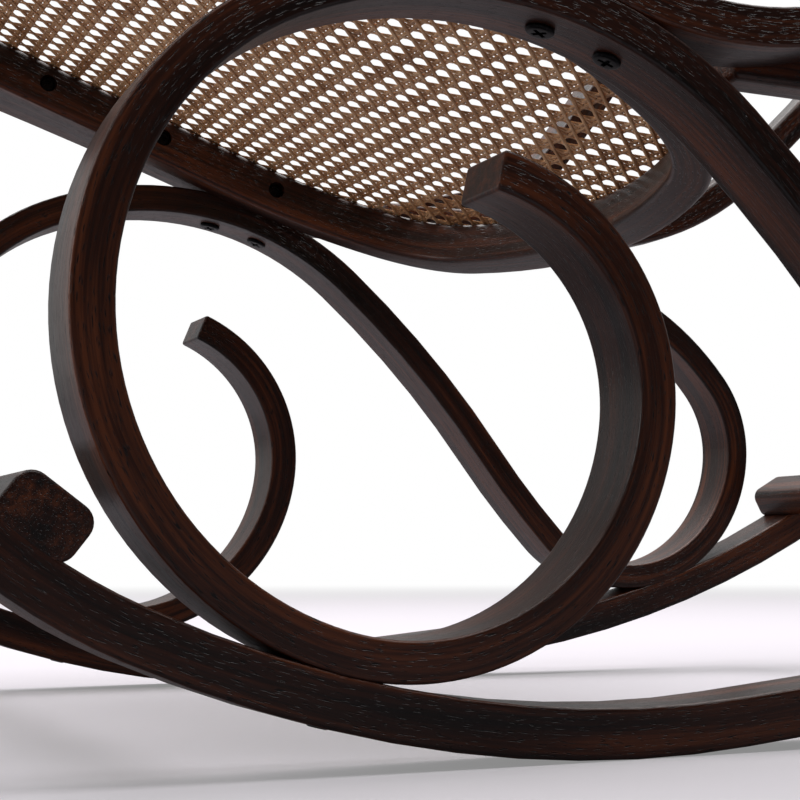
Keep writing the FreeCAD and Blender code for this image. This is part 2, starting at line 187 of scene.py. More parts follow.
def step_along(point, ahead, length, turn, axis):
    """Where an arc ends and which way it points there."""
    if not turn:
        return point + ahead * (length * MM), ahead, None
    radius = length * MM / abs(math.radians(turn))
    centre = point + axis.cross(ahead) * (radius * math.copysign(1, turn))
    rotation = Matrix.Rotation(math.radians(turn), 3, axis)
    return centre + rotation @ (point - centre), rotation @ ahead, centre


def side_route(start, heading, arcs, x):
    """Route in a side plane from its arcs as (length, turn)."""
    ahead = Vector((0, math.cos(math.radians(heading)), math.sin(math.radians(heading))))
    return at_mm(x, *start), ahead, [(length, turn, ACROSS) for length, turn in arcs]


def route_samples(route, spacing=1.0):
    """Rows along a route: point, direction, depth direction, axis and distance in mm."""
    point, ahead, bends = route
    rows, done = [], 0.0
    for length, turn, axis in bends:
        count = max(2, int(length / spacing))
        for i in range(count):
            part = i / count
            p, a, _ = step_along(point, ahead, length * part, turn * part, axis)
            rows.append((*p, *a, *axis.cross(a), *axis, done + length * part))
        point, ahead, _ = step_along(point, ahead, length, turn, axis)
        done += length
    rows.append((*point, *ahead, *axis.cross(ahead), *axis, done))
    return np.array(rows)


def heading_at(start, heading, arcs, station):
    """Point in mm and heading in degrees at a distance along side-plane arcs."""
    y, z = start
    for length, turn in arcs:
        part = min(1.0, station / length)
        a, b = math.radians(heading), math.radians(heading + turn * part)
        if not turn:
            y, z = y + length * part * math.cos(a), z + length * part * math.sin(a)
        else:
            r = length / math.radians(turn)
            y, z = y + r * (math.sin(b) - math.sin(a)), z + r * (math.cos(a) - math.cos(b))
        heading += turn * part
        station -= length
        if station <= 0:
            break
    return y, z, heading


def beside(mark, left):
    """The point that lies to the left of a mark (y, z, heading), in mm."""
    y, z, heading = mark
    return y - left * math.sin(math.radians(heading)), z + left * math.cos(math.radians(heading))


# Shaping

def deselect():
    """Leave edit mode and select nothing."""
    if bpy.context.object and bpy.context.object.mode != "OBJECT":
        bpy.ops.object.mode_set(mode="OBJECT")
    bpy.ops.object.select_all(action="DESELECT")


def finish_modifier(obj, modifier):
    """Apply a modifier."""
    bpy.context.view_layer.objects.active = obj
    bpy.ops.object.modifier_apply(modifier=modifier.name)


def bend_bar(name, route, width, depth):
    """A flat face of the section, spun and extruded along the route."""
    deselect()
    point, ahead, bends = route
    axis = bends[0][2]
    bpy.ops.mesh.primitive_plane_add(size=1, location=(0, 0, 0))
    bar = bpy.context.object
    bar.name = bar.data.name = name
    frame_of_section = Matrix((axis * (width * MM), axis.cross(ahead) * (depth * MM), ahead)).transposed()
    bar.data.transform(Matrix.Translation(point) @ frame_of_section.to_4x4())
    bpy.ops.object.mode_set(mode="EDIT")
    bpy.ops.mesh.select_all(action="SELECT")
    for length, turn, axis in bends:
        end, new_ahead, centre = step_along(point, ahead, length, turn, axis)
        if centre is None:
            bpy.ops.mesh.extrude_region_move(TRANSFORM_OT_translate={"value": end - point})
        else:
            steps = max(2, math.ceil(abs(turn) / BEND_STEP))
            bpy.ops.mesh.spin(steps=steps, angle=SPIN_SIGN * math.radians(turn), center=centre, axis=axis)
        point, ahead = end, new_ahead
    bpy.ops.mesh.select_all(action="SELECT")
    bpy.ops.mesh.remove_doubles(threshold=SAME_POINT)
    bpy.ops.mesh.normals_make_consistent(inside=False)
    bpy.ops.object.mode_set(mode="OBJECT")
    return bar


def ease_edges(obj, radius, segments=3):
    """Round every sharp edge by a real radius and keep the flats flat."""
    bevel = obj.modifiers.new("eased edges", "BEVEL")
    bevel.width = radius * MM
    bevel.segments = segments
    bevel.limit_method = "ANGLE"
    bevel.angle_limit = math.radians(SHARP_ANGLE)
    finish_modifier(obj, bevel)
    deselect()
    obj.select_set(True)
    bpy.context.view_layer.objects.active = obj
    bpy.ops.object.shade_smooth()
    flat = obj.modifiers.new("flat sides", "WEIGHTED_NORMAL")
    flat.keep_sharp = True
    flat.weight = 100
    finish_modifier(obj, flat)


def mirror_across(obj):
    """Join a half to its mirror image on the chair's middle plane."""
    mirror = obj.modifiers.new("other half", "MIRROR")
    mirror.use_axis = (True, False, False)
    mirror.use_clip = True
    mirror.merge_threshold = HALVES_MEET
    finish_modifier(obj, mirror)


def open_ends_on_middle(obj):
    """Take away the end faces that lie on the chair's middle plane."""
    deselect()
    bpy.context.view_layer.objects.active = obj
    obj.select_set(True)
    bpy.ops.object.mode_set(mode="EDIT")
    bpy.ops.mesh.select_all(action="DESELECT")
    bpy.ops.object.mode_set(mode="OBJECT")
    for face in obj.data.polygons:
        face.select = all(abs(obj.data.vertices[v].co.x) < ON_MIDDLE for v in face.vertices)
    bpy.ops.object.mode_set(mode="EDIT")
    bpy.ops.mesh.delete(type="FACE")
    bpy.ops.object.mode_set(mode="OBJECT")


def mesh_points(mesh):
    """The mesh's points as rows."""
    points = np.empty(len(mesh.vertices) * 3)
    mesh.vertices.foreach_get("co", points)
    return points.reshape(-1, 3)


def store_vectors(mesh, name, rows):
    """Keep a row of three numbers with each point."""
    store = mesh.attributes.new(name, "FLOAT_VECTOR", "POINT")
    store.data.foreach_set("vector", np.asarray(rows, np.float32).ravel())


def grain_from_route(obj, route, start, halves=False):
    """Store how far each point lies along, across and through the bent bar, for its grain."""
    samples = route_samples(route)
    points = mesh_points(obj.data)
    seen = points.copy()
    if halves:
        seen[:, 0] = np.abs(seen[:, 0])
    nearest = np.empty(len(seen), int)
    block_size = 2000
    for first in range(0, len(seen), block_size):
        block = seen[first:first + block_size]
        gap = ((block[:, None, :] - samples[None, :, :3]) ** 2).sum(2)
        nearest[first:first + block_size] = gap.argmin(1)
    row = samples[nearest]
    off = seen - row[:, :3]
    along = row[:, 12] * MM + (off * row[:, 3:6]).sum(1)
    if halves:
        along = np.where(points[:, 0] < 0, -along, along)
    grain = [along + start, (off * row[:, 9:12]).sum(1), (off * row[:, 6:9]).sum(1)]
    store_vectors(obj.data, "bent_grain", np.stack(grain, 1))


def straight_grain(obj, along, across, start):
    """Store grain coordinates for a straight piece."""
    points = mesh_points(obj.data)
    rows = [points @ np.array(v) for v in (along, across, along.cross(across))]
    rows[0] = rows[0] + start
    store_vectors(obj.data, "bent_grain", np.stack(rows, 1))


def settle(obj, material, node):
    """Give a finished piece its material and its body, and hide the solid that it stands for."""
    obj.data.materials.clear()
    obj.data.materials.append(material)
    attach(obj, "root")
    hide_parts(node)


# Materials

def linear(hex_colour):
    """sRGB hex to a linear colour."""
    parts = [int(hex_colour[i:i + 2], 16) / 255 for i in (1, 3, 5)]
    return [p / 12.92 if p <= 0.04045 else ((p + 0.055) / 1.055) ** 2.4 for p in parts] + [1.0]


def add(material, kind, inputs=None, **settings):
    """Add a node with its settings; inputs are values or (node, output) pairs."""
    node = material.node_tree.nodes.new(kind)
    for key, value in settings.items():
        setattr(node, key, value)
    for key, value in (inputs or {}).items():
        if isinstance(value, tuple) and hasattr(value[0], "outputs"):
            material.node_tree.links.new(value[0].outputs[value[1]], node.inputs[key])
        else:
            node.inputs[key].default_value = value
    return node


def new_material(name):
    """A material without nodes."""
    material = bpy.data.materials.new(name)
    material.use_nodes = True
    material.node_tree.nodes.clear()
    return material


def ramp(node, stops):
    """Set a ramp's colours from (place, hex) pairs."""
    band = node.color_ramp
    while len(band.elements) > 2:
        band.elements.remove(band.elements[-1])
    for i, (place, colour) in enumerate(stops):
        element = band.elements[i] if i < 2 else band.elements.new(place)
        element.position = place
        element.color = linear(colour)


def stained_beech():
    """Steam-bent beech, stained almost black-brown and brushed with satin lacquer.
    Fine streaks follow the bend, and open pores show as short dashes with glinting rims."""
    m = new_material("steam_bent_beech_dark_stain")
    place = add(m, "ShaderNodeAttribute", attribute_name="bent_grain")
    # streaks about 2 mm wide and 90 mm long
    streak_map = add(m, "ShaderNodeMapping", {"Vector": (place, "Vector"), "Scale": (11, 480, 480)})
    streak = add(m, "ShaderNodeTexNoise", {"Vector": (streak_map, "Vector"), "Scale": 1.0, "Detail": 4.0,
                                           "Roughness": 0.62, "Distortion": 0.35})
    # broad bands of darker stain about 12 mm wide
    cloud_map = add(m, "ShaderNodeMapping", {"Vector": (place, "Vector"), "Scale": (5, 80, 80)})
    cloud = add(m, "ShaderNodeTexNoise", {"Vector": (cloud_map, "Vector"), "Scale": 1.0, "Detail": 2.0})
    both = add(m, "ShaderNodeMath", {0: (streak, "Fac"), 1: (cloud, "Fac")}, operation="MULTIPLY")
    tone = add(m, "ShaderNodeMath", {0: (both, 0), 1: 1.9}, operation="MULTIPLY")
    colour = add(m, "ShaderNodeValToRGB", {"Fac": (tone, 0)})
    ramp(colour, ((0.25, "#110604"), (0.48, "#38190d"), (0.78, "#6c381e")))
    # pores about 0.6 mm wide and 5 mm long, wider than real ones so that they show
    pore_map = add(m, "ShaderNodeMapping", {"Vector": (place, "Vector"), "Scale": (190, 1500, 1500)})
    pore = add(m, "ShaderNodeTexNoise", {"Vector": (pore_map, "Vector"), "Scale": 1.0, "Detail": 1.0})
    pore_mask = add(m, "ShaderNodeMapRange", {"Value": (pore, "Fac"), "From Min": 0.60, "From Max": 0.72})
    dark = add(m, "ShaderNodeMix", {"Factor": (pore_mask, 0), "A": (colour, "Color"), "B": linear("#0a0404")},
               data_type="RGBA")
    lacquer_map = add(m, "ShaderNodeMapping", {"Vector": (place, "Vector"), "Scale": (60, 260, 260)})
    lacquer = add(m, "ShaderNodeTexNoise", {"Vector": (lacquer_map, "Vector"), "Scale": 1.0, "Detail": 3.0})
    rough = add(m, "ShaderNodeMapRange", {"Value": (lacquer, "Fac"), "To Min": 0.26, "To Max": 0.42})
    height = add(m, "ShaderNodeMath", {0: (pore_mask, 0), 1: -1.0}, operation="MULTIPLY")
    total = add(m, "ShaderNodeMath", {0: (streak, "Fac"), 1: 0.35, 2: (height, 0)}, operation="MULTIPLY_ADD")
    bump = add(m, "ShaderNodeBump", {"Height": (total, 0), "Strength": 0.55, "Distance": 0.0005})
    surface = add(m, "ShaderNodeBsdfPrincipled", {
        "Base Color": (dark, "Result"), "Roughness": (rough, 0), "Normal": (bump, "Normal"),
        "IOR": 1.4, "Coat Weight": 0.12, "Coat Roughness": 0.25})
    add(m, "ShaderNodeOutputMaterial", {"Surface": (surface, "BSDF")})
    return m


def rattan_cane():
    """Split rattan bark, woven and left bare: pale strands with a slight gloss and darker flecks."""
    m = new_material("split_rattan_cane_bare")
    place = add(m, "ShaderNodeTexCoord")
    fibre = add(m, "ShaderNodeAttribute", attribute_name="strand")
    tint_map = add(m, "ShaderNodeMapping", {"Vector": (place, "Object"), "Scale": (55, 55, 55)})
    tint = add(m, "ShaderNodeTexNoise", {"Vector": (tint_map, "Vector"), "Scale": 1.0, "Detail": 3.0})
    # fibres about 0.4 mm wide, 12 mm long
    fibre_map = add(m, "ShaderNodeMapping", {"Vector": (fibre, "Vector"), "Scale": (90, 2400, 1)})
    line = add(m, "ShaderNodeTexNoise", {"Vector": (fibre_map, "Vector"), "Scale": 1.0, "Detail": 2.0})
    mixed = add(m, "ShaderNodeMath", {0: (tint, "Fac"), 1: (line, "Fac")}, operation="ADD")
    half = add(m, "ShaderNodeMath", {0: (mixed, 0), 1: 0.5}, operation="MULTIPLY")
    colour = add(m, "ShaderNodeValToRGB", {"Fac": (half, 0)})
    ramp(colour, ((0.34, "#a16e46"), (0.5, "#d9a473"), (0.66, "#fbd2a4")))
    bump = add(m, "ShaderNodeBump", {"Height": (line, "Fac"), "Strength": 0.3, "Distance": 0.0002})
    surface = add(m, "ShaderNodeBsdfPrincipled", {
        "Base Color": (colour, "Color"), "Roughness": 0.42, "Normal": (bump, "Normal"), "IOR": 1.5})
    add(m, "ShaderNodeOutputMaterial", {"Surface": (surface, "BSDF")})
    return m


def stained_reed():
    """Round reed pressed into the groove over the cane, stained with the frame."""
    m = new_material("pressed_reed_dark_stain")
    place = add(m, "ShaderNodeTexCoord")
    noise = add(m, "ShaderNodeTexNoise", {"Vector": (place, "Object"), "Scale": 180.0, "Detail": 3.0})
    colour = add(m, "ShaderNodeValToRGB", {"Fac": (noise, "Fac")})
    ramp(colour, ((0.3, "#1d100b"), (0.55, "#3a2318"), (0.8, "#553625")))
    bump = add(m, "ShaderNodeBump", {"Height": (noise, "Fac"), "Strength": 0.2, "Distance": 0.0003})
    surface = add(m, "ShaderNodeBsdfPrincipled", {
        "Base Color": (colour, "Color"), "Roughness": 0.45, "Normal": (bump, "Normal"), "IOR": 1.5})
    add(m, "ShaderNodeOutputMaterial", {"Surface": (surface, "BSDF")})
    return m


def blackened_steel():
    """Black-oxide steel screw: dark metal with a dull sheen and a little wear."""
    m = new_material("black_oxide_steel_screw")
    place = add(m, "ShaderNodeTexCoord")
    noise = add(m, "ShaderNodeTexNoise", {"Vector": (place, "Object"), "Scale": 900.0, "Detail": 2.0})
    colour = add(m, "ShaderNodeValToRGB", {"Fac": (noise, "Fac")})
    ramp(colour, ((0.35, "#0c0c0d"), (0.6, "#18181a"), (0.85, "#2c2b2c")))
    rough = add(m, "ShaderNodeMapRange", {"Value": (noise, "Fac"), "To Min": 0.28, "To Max": 0.5})
    surface = add(m, "ShaderNodeBsdfPrincipled", {
        "Base Color": (colour, "Color"), "Roughness": (rough, 0), "Metallic": 0.85})
    add(m, "ShaderNodeOutputMaterial", {"Surface": (surface, "BSDF")})
    return m


WOOD = stained_beech()
CANE = rattan_cane()
REED = stained_reed()
BLACK = blackened_steel()


# Side frames

def bent_band(side, kind, thick, start, heading, arcs):
    """A runner, scroll or arm loop: one bent band in the side frame's plane."""
    node = ("left_" if side > 0 else "right_") + kind
    route = side_route(start, heading, arcs, side * PLANE_MID)
    band = bend_bar(node + "_wood", route, BAND_WIDTH, thick)
    ease_edges(band, BAND_EASE)
    grain_start, grain_shift = GRAIN_STARTS[kind]
    grain_from_route(band, route, grain_start + side * grain_shift)
    settle(band, WOOD, node)


def scroll_route(cut):
    """Scroll band with its inner end cut shorter."""
    y, z, heading = heading_at(SCROLL_START, SCROLL_HEADING, SCROLL_ARCS, cut)
    length, turn = SCROLL_ARCS[0]
    return (y, z), heading, ((length - cut, turn * (1 - cut / length)),) + SCROLL_ARCS[1:]


def arm_route():
    """Armrest, front curl, lower run, rising branch and its tail, from the back end."""
    turn = 180.0 + ARM_RUN_HEADING + ARM_REST_SLOPE
    curl = ARM_CURL_R * math.radians(turn)
    ahead = ((ARM_FRONT_RUN, 0.0), (curl, -turn))
    top = heading_at(ARM_RUN_START, ARM_RUN_HEADING + 180.0, ahead, ARM_FRONT_RUN + curl)
    slope = math.radians(ARM_REST_SLOPE)
    rest = (ARM_REST_END - top[0]) / math.cos(slope)
    tip = (top[0] + rest * math.cos(slope), top[1] - rest * math.sin(slope))
    run = sum(length for length, _ in ARM_RUN_ARCS)
    up = heading_at(ARM_RUN_START, ARM_RUN_HEADING, ARM_RUN_ARCS, run)
    a, c = math.radians(up[2]), -slope
    bend_y = -BRANCH_R * (math.sin(c) - math.sin(a))
    bend_z = -BRANCH_R * (math.cos(a) - math.cos(c))
    off = -(up[0] + bend_y - tip[0]) * math.sin(c) + (up[1] + bend_z - tip[1]) * math.cos(c)
    climb = (-ARM_THICK - TAIL_GAP - off) / math.sin(a - c)
    bend = up[2] + ARM_REST_SLOPE
    arcs = ((rest, 0.0), (curl, turn), (ARM_FRONT_RUN, 0.0)) + ARM_RUN_ARCS
    arcs += ((climb, 0.0), (BRANCH_R * math.radians(bend), -bend), (BRANCH_TAIL, 0.0))
    return tip, 180.0 - ARM_REST_SLOPE, arcs


ARM_START, ARM_HEADING, ARM_ARCS = arm_route()

for side, cut in ((1, 0.0), (-1, RIGHT_SCROLL_CUT)):
    bent_band(side, "runner", RUNNER_THICK, RUNNER_START, RUNNER_HEADING, RUNNER_ARCS)
    bent_band(side, "scroll", SCROLL_THICK, *scroll_route(cut))
    bent_band(side, "arm_loop", ARM_THICK, ARM_START, ARM_HEADING, ARM_ARCS)


def crossbar(node, station):
    """Rounded bar that lies across both runners."""
    mark = heading_at(RUNNER_START, RUNNER_HEADING, RUNNER_ARCS, station)
    y, z = beside(mark, RUNNER_THICK / 2 + BAR_DEEP / 2 - BAR_LET_IN)
    deselect()
    bpy.ops.mesh.primitive_cube_add(size=1)
    bar = bpy.context.object
    bar.name = bar.data.name = node + "_wood"
    bar.data.transform(Matrix.Diagonal((2 * PLANE_OUT * MM, BAR_ALONG * MM, BAR_DEEP * MM, 1)))
    bpy.ops.object.mode_set(mode="EDIT")
    bpy.ops.mesh.select_mode(type="EDGE")
    bpy.ops.object.mode_set(mode="OBJECT")
    for face in bar.data.polygons:
        face.select = False
    for edge in bar.data.edges:
        a, b = (bar.data.vertices[v].co for v in edge.vertices)
        edge.select = abs(a.x - b.x) > PLANE_OUT * MM
    bpy.ops.object.mode_set(mode="EDIT")
    bpy.ops.mesh.bevel(offset=BAR_CORNER * MM, segments=7, affect="EDGES")
    bpy.ops.object.mode_set(mode="OBJECT")
    straight_grain(bar, ACROSS, Vector((0, 1, 0)), GRAIN_STARTS[node][0])
    turn = Matrix.Rotation(math.radians(mark[2]), 4, "X")
    bar.data.transform(Matrix.Translation(at_mm(0, y, z)) @ turn)
    ease_edges(bar, BAR_END_EASE)
    settle(bar, WOOD, node)


crossbar("front_crossbar", FRONT_BAR_AT)
crossbar("rear_crossbar", REAR_BAR_AT)


# Seat ring and back hoop

def ring_route():
    """Left half of the ring's middle line, from the middle of the back to the middle of the front."""
    inset = RING_THICK / 2
    bends = []
    for length, turn in RING_REAR_ARCS:
        bends.append((length - inset * math.radians(-turn), turn, SEAT_UP))
    bends.append((RING_SIDE, 0.0, SEAT_UP))
    corner = RING_FRONT_R - inset
    bends.append((corner * math.radians(RING_FRONT_TURN), -RING_FRONT_TURN, SEAT_UP))
    point = seat_point(0, RING_BACK - inset, -RING_DEEP / 2)
    reach, ahead = point, ACROSS.copy()
    for length, turn, axis in bends:
        reach, ahead, _ = step_along(reach, ahead, length, turn, axis)
    left_over = math.radians(90.0 - RING_FRONT_TURN)
    radius = reach.x / math.sin(left_over) / MM
    bends.append((radius * left_over, -math.degrees(left_over), SEAT_UP))
    return point, ACROSS.copy(), bends


def hoop_route():
    """Left half of the hoop, from the middle of the top, down the stile and forward along the leg."""
    top_turn = math.radians(90.0 - BACK_CORNER_TURN)
    corner = math.radians(BACK_CORNER_TURN)
    reach = BACK_CORNER_R * (1 - math.cos(corner))
    half = PLANE_IN - STILE / 2
    radius = (half - reach) / math.sin(top_turn)
    rise = radius * (1 - math.cos(top_turn)) + BACK_CORNER_R * math.sin(corner)
    bends = [(radius * top_turn, -math.degrees(top_turn), BACK_FRONTWARD),
             (BACK_CORNER_R * corner, -BACK_CORNER_TURN, BACK_FRONTWARD),
             (BACK_STRAIGHT, 0.0, BACK_FRONTWARD)]
    bends += [(length, turn, ACROSS) for length, turn in LEG_ARCS]
    return back_point(0, BACK_STRAIGHT + rise, 0), ACROSS.copy(), bends


def seat_screw_spots():
    """Where the seat's side screws sit, as (y, z) in mm."""
    a = math.radians(SEAT_SLOPE)
    for s in SEAT_SCREW_S:
        yield (s * math.cos(a) + SEAT_SCREW_N * math.sin(a),
               SEAT_HEIGHT - s * math.sin(a) + SEAT_SCREW_N * math.cos(a))


def countersink(obj, point, direction, radius, depth):
    """Drill a flat-bottomed recess."""
    deselect()
    bpy.ops.mesh.primitive_cylinder_add(vertices=32, radius=radius * MM, depth=depth * MM)
    drill = bpy.context.object
    drill.data.transform(Matrix.Translation((0, 0, depth * MM / 2)))
    drill.data.transform(direction.to_track_quat("Z", "Y").to_matrix().to_4x4())
    drill.data.transform(Matrix.Translation(point))
    cut_out(obj, drill)


def cut_out(obj, tool):
    """Cut one mesh out of another and throw the tool away."""
    cut = obj.modifiers.new("recess", "BOOLEAN")
    cut.operation = "DIFFERENCE"
    cut.solver = "EXACT"
    cut.object = tool
    finish_modifier(obj, cut)
    bpy.data.objects.remove(tool)


def bent_ring(node, route, width, depth, ease):
    """A bent bar and its mirror image, as one piece with eased edges."""
    ring = bend_bar(node + "_wood", route, width, depth)
    open_ends_on_middle(ring)
    mirror_across(ring)
    ease_edges(ring, ease, 4)
    return ring


def seat_ring():
    """Bent ring seat frame with a recess for each side screw."""
    route = ring_route()
    ring = bent_ring("seat_ring", route, RING_DEEP, RING_THICK, RING_EASE)
    radius, depth = SMALL_HEAD[0] + RECESS_ROOM, SIDE_SCREW_SINK + RECESS_START
    for y, z in seat_screw_spots():
        for side in (-1, 1):
            point = at_mm(side * (PLANE_IN - RING_THICK - RECESS_START), y, z)
            countersink(ring, point, ACROSS * side, radius, depth)
    grain_from_route(ring, route, GRAIN_STARTS["seat_ring"][0], halves=True)
    settle(ring, WOOD, "seat_ring")


def back_hoop():
    """Arch, stiles and legs of the back."""
    route = hoop_route()
    hoop = bent_ring("back_hoop", route, STILE, STILE, STILE_EASE)
    grain_from_route(hoop, route, GRAIN_STARTS["back_hoop"][0], halves=True)
    settle(hoop, WOOD, "back_hoop")


def back_rail():
    """Lower rail of the back, between the stiles."""
    half = PLANE_IN - STILE
    deselect()
    bpy.ops.mesh.primitive_cube_add(size=1)
    rail = bpy.context.object
    rail.name = rail.data.name = "back_rail_wood"
    rail.data.transform(Matrix.Diagonal((2 * half * MM, RAIL_WIDE * MM, STILE * MM, 1)))
    turn = Matrix((ACROSS, BACK_UPWARD, BACK_FRONTWARD)).transposed().to_4x4()
    rail.data.transform(Matrix.Translation(back_point(0, RAIL_AT, 0)) @ turn)
    ease_edges(rail, STILE_EASE, 4)
    straight_grain(rail, ACROSS, BACK_UPWARD, GRAIN_STARTS["back_rail"][0])
    settle(rail, WOOD, "back_rail")


seat_ring()
back_hoop()
back_rail()


# Cane

def inside(outline, x, v):
    """Even-odd test of many points against a closed outline."""
    result = np.zeros(x.shape, bool)
    count = len(outline)
    for i in range(count):
        x0, v0 = outline[i]
        x1, v1 = outline[(i + 1) % count]
        if v0 == v1:
            continue
        crosses = (v0 > v) != (v1 > v)
        result ^= crosses & (x < (x1 - x0) * (v - v0) / (v1 - v0) + x0)
    return result


def runs_inside(outline, x, v):
    """Stretches of a line of points that lie inside the outline, as lists of indexes."""
    run = []
    for i, keep in enumerate(inside(outline, x, v)):
        if keep:
            run.append(i)
        elif run:
            yield run
            run = []
    if run:
        yield run


def cane_lines(low, high, phase):
    """Lines of the mesh as (start, direction, length, width, height of the strand at a point)."""
    mid = CANE_PITCH / 2
    for other in (0, 1):
        along = 1 - other
        first = math.floor((low[other] - phase[other]) / CANE_PITCH) - 1
        last = math.ceil((high[other] - phase[other]) / CANE_PITCH) + 1
        for i in range(first, last + 1):
            for pair in (-1, 1):
                start = [0.0, 0.0]
                start[other] = phase[other] + mid + i * CANE_PITCH + pair * CANE_PAIR_GAP / 2
                start[along] = low[along]
                direction = [0.0, 0.0]
                direction[along] = 1.0
                over = -pair if other else pair
                yield start, direction, high[along] - low[along], CANE_STRAND, swing(over, along, phase)
    width, height = high - low
    count = int((width + height) / CANE_PITCH) + 2
    left = low[0] - 1
    for sign in (1, -1):
        direction = (math.sqrt(0.5), sign * math.sqrt(0.5))
        for i in range(-count, count + 1):
            start = (left, phase[1] + sign * (left - phase[0]) + (i + 0.5) * CANE_PITCH)
            yield start, direction, (width + 2) * math.sqrt(2), CANE_DIAGONAL, level(sign)


def swing(over, along, phase):
    """Height of a strand of a pair, which goes over and under the pairs that it crosses."""
    lattice = 2 * math.pi / CANE_PITCH
    return lambda *xv: over * CANE_WAVE * math.cos(lattice * (xv[along] - phase[along] - CANE_PITCH / 2))


def level(sign):
    """Height of a diagonal strand."""
    return lambda *xv: sign * CANE_LIFT


def weave(node, outline, point_at, phase, seed):
    """Six-way cane: pairs of strands each way, and a single strand on each diagonal."""
    rng = np.random.default_rng(seed)
    verts, faces, strand = [], [], []
    corners = len(STRAND_SECTION)
    low, high = np.array(outline).min(0), np.array(outline).max(0)
    for start, direction, length, width, height_at in cane_lines(low, high, phase):
        t = np.arange(int(length / CANE_STEP) + 1) * CANE_STEP
        x, v = start[0] + direction[0] * t, start[1] + direction[1] * t
        stray, tone = rng.normal(0, CANE_STRAY), rng.uniform(0, CANE_TONES)
        for run in runs_inside(outline, x, v):
            if len(run) < 3:
                continue
            base = len(verts)
            for k in run:
                height = height_at(x[k], v[k])
                for across, up in STRAND_SECTION:
                    off = across * width + stray
                    verts.append(point_at(x[k] - direction[1] * off, v[k] + direction[0] * off,
                                          height + up * CANE_THICK))
                    strand.append((t[k] * MM + tone, across * width * MM, tone))
            for j in range(len(run) - 1):
                a, b = base + corners * j, base + corners * (j + 1)
                for c in range(corners):
                    d = (c + 1) % corners
                    faces.append((a + c, b + c, b + d, a + d))
    mesh = bpy.data.meshes.new(node + "_weave")
    mesh.from_pydata(verts, [], faces)
    mesh.update()
    obj = bpy.data.objects.new(node + "_weave", mesh)
    bpy.context.scene.collection.objects.link(obj)
    store_vectors(mesh, "strand", strand)
    mesh.shade_smooth()
    settle(obj, CANE, node)


def ring_outline(inset):
    """Seat outline as (x, s), moved inwards from the ring's outer side."""
    origin = seat_point(0, 0, 0)
    half = []
    for row in route_samples(ring_route(), OUTLINE_SPACING):
        p = Vector(row[:3]) - origin
        d = Vector(row[6:9])
        p = p + d * ((RING_THICK / 2 - inset) * MM)
        half.append((p.x / MM, p.dot(SEAT_BACKWARD) / MM))
    return half + [(-x, s) for x, s in reversed(half)]


def hoop_outline(inset):
    """Back outline as (x, t), from the arch down to the rail."""
    origin = back_point(0, 0, 0)
    point, ahead, bends = hoop_route()
    half = []
    for row in route_samples((point, ahead, bends[:3]), OUTLINE_SPACING):
        p = Vector(row[:3]) - origin
        d = Vector(row[6:9])
        p = p + d * ((STILE / 2 - inset) * MM)
        half.append((p.x / MM, p.dot(BACK_UPWARD) / MM))
    foot = RAIL_AT - RAIL_WIDE / 2 + inset
    half = [(x, max(t, foot)) for x, t in half]
    return half + [(-x, t) for x, t in reversed(half)]


CANE_INSET = SPLINE_INSET + SPLINE_WIDE / 2
weave("seat_cane", ring_outline(CANE_INSET), lambda x, s, n: seat_point(x, s, n + MESH_HEIGHT), SEAT_PHASE, 5)
weave("back_cane", hoop_outline(CANE_INSET),
      lambda x, t, n: back_point(x, t, n + STILE / 2 + MESH_HEIGHT), BACK_PHASE, 6)

for node in ("seat_cane_spline", "back_cane_spline"):
    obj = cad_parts[node]
    obj.data.materials.clear()
    obj.data.materials.append(REED)


# Screws

def screw_head(radius, height):
    """Domed head with a cross recess, its seat at the origin and its top up."""
    deselect()
    bpy.ops.mesh.primitive_cylinder_add(vertices=40, radius=radius * MM, depth=height * MM,
                                        location=(0, 0, height * MM / 2))
    head = bpy.context.object
    head.data.transform(head.matrix_world)
    head.matrix_world = Matrix.Identity(4)
    ease = head.modifiers.new("dome", "BEVEL")
    ease.width = height * 0.55 * MM
    ease.segments = 5
    ease.limit_method = "ANGLE"
    finish_modifier(head, ease)
    for turn in (0, 90):
        deselect()
        bpy.ops.mesh.primitive_cube_add(size=1)
        slot = bpy.context.object
        slot.data.transform(Matrix.Diagonal((radius * 1.15 * MM, radius * 0.3 * MM, height * 1.2 * MM, 1)))
        slot.data.transform(Matrix.Rotation(math.radians(turn), 4, "Z"))
        slot.data.transform(Matrix.Translation((0, 0, height * 1.15 * MM)))
        cut_out(head, slot)
    return head


def place_screws(node, head_size, spots):
    """Copy a head to each spot and join the copies; a spot is a point and the screw's way in."""
    head = screw_head(*head_size)
    copies = []
    for i, (point, way) in enumerate(spots):
        copy = head.copy()
        copy.data = head.data.copy()
        bpy.context.scene.collection.objects.link(copy)
        turn = (-way).to_track_quat("Z", "Y").to_matrix().to_4x4()
        spin = Matrix.Rotation(FIRST_SLOT_TURN + NEXT_SLOT_TURN * i, 4, "Z")
        copy.data.transform(Matrix.Translation(point) @ turn @ spin)
        copies.append(copy)
    bpy.data.objects.remove(head)
    deselect()
    for copy in copies:
        copy.select_set(True)
    bpy.context.view_layer.objects.active = copies[0]
    bpy.ops.object.join()
    group = bpy.context.object
    group.name = group.data.name = node[:-1] + "_heads"
    bpy.ops.object.shade_smooth_by_angle(angle=math.radians(35))
    settle(group, BLACK, node)


def side_spots(places):
    """Spots on the inner faces of the seat ring and the stiles; a place is y and z."""
    for y, z in places:
        for side in (-1, 1):
            yield at_mm(side * (PLANE_IN - RING_THICK + SIDE_SCREW_SINK), y, z), Vector((side, 0, 0))


def plane_spots(marks, sink):
    """Spots in the middle of each side frame; a mark is y, z and the surface's heading."""
    for y, z, heading in marks:
        y, z = beside((y, z, heading), sink)
        way = Vector((0, -math.sin(math.radians(heading)), math.cos(math.radians(heading))))
        for side in (-1, 1):
            yield at_mm(side * PLANE_MID, y, z), way


